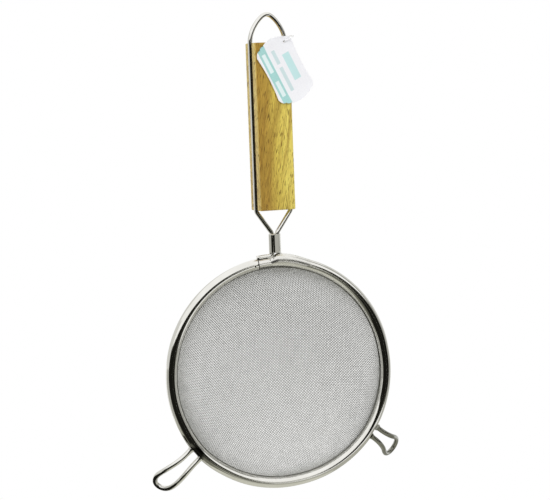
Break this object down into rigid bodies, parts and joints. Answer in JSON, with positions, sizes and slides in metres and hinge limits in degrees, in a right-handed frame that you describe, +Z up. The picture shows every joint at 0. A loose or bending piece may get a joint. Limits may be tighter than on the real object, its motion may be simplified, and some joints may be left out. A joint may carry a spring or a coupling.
{
  "type": "mesh strainer",
  "caption": "Round mesh strainer: woven wire bowl in a rolled tube rim, hairpin wire handle with a wooden grip and hanging loop, two bent-back rest hooks, and a card tag on a nylon loop",
  "frame": {"origin": "The inside top of the wire loop above the grip, where the strainer hangs on a hook.", "axes": "+Z is up along the handle, +X is to the right in the picture, and the open side of the bowl faces -Y, so that the bowl bulges to +Y."},
  "size_m": [0.223, 0.0741, 0.404],
  "materials": {
    "polished_steel": "polished",
    "mesh_steel": "satin woven wire",
    "grip_wood": "thinly varnished, straight grain with dark flecks",
    "tag_card": "smooth white card with a pale teal band",
    "tie_nylon": "clear nylon"
  },
  "bodies": {
    "strainer": {"handle_wire": "polished_steel", "wooden_grip": "grip_wood", "neck_sleeve": "polished_steel", "rim_tube": "polished_steel", "hem_wire": "mesh_steel", "mesh_bowl": "mesh_steel", "rest_hook_left": "polished_steel", "rest_hook_right": "polished_steel"},
    "tag_loop": {"tag_tie": "tie_nylon"},
    "hang_tag": {"swing_tag": "tag_card"}
  },
  "joints": [
    {"name": "tie_round_leg", "type": "hinge", "parent": "strainer", "child": "tag_loop", "pos_m": [0.0155, 0.00177, -0.0206], "axis": [0, 0, 1], "range_deg": [0, 170]},
    {"name": "tag_swing", "type": "hinge", "parent": "tag_loop", "child": "hang_tag", "pos_m": [0.01138, -0.01063, -0.0206], "axis": [-0.1132, 0.9936, 0], "range_deg": [-28, 28]}
  ]
}
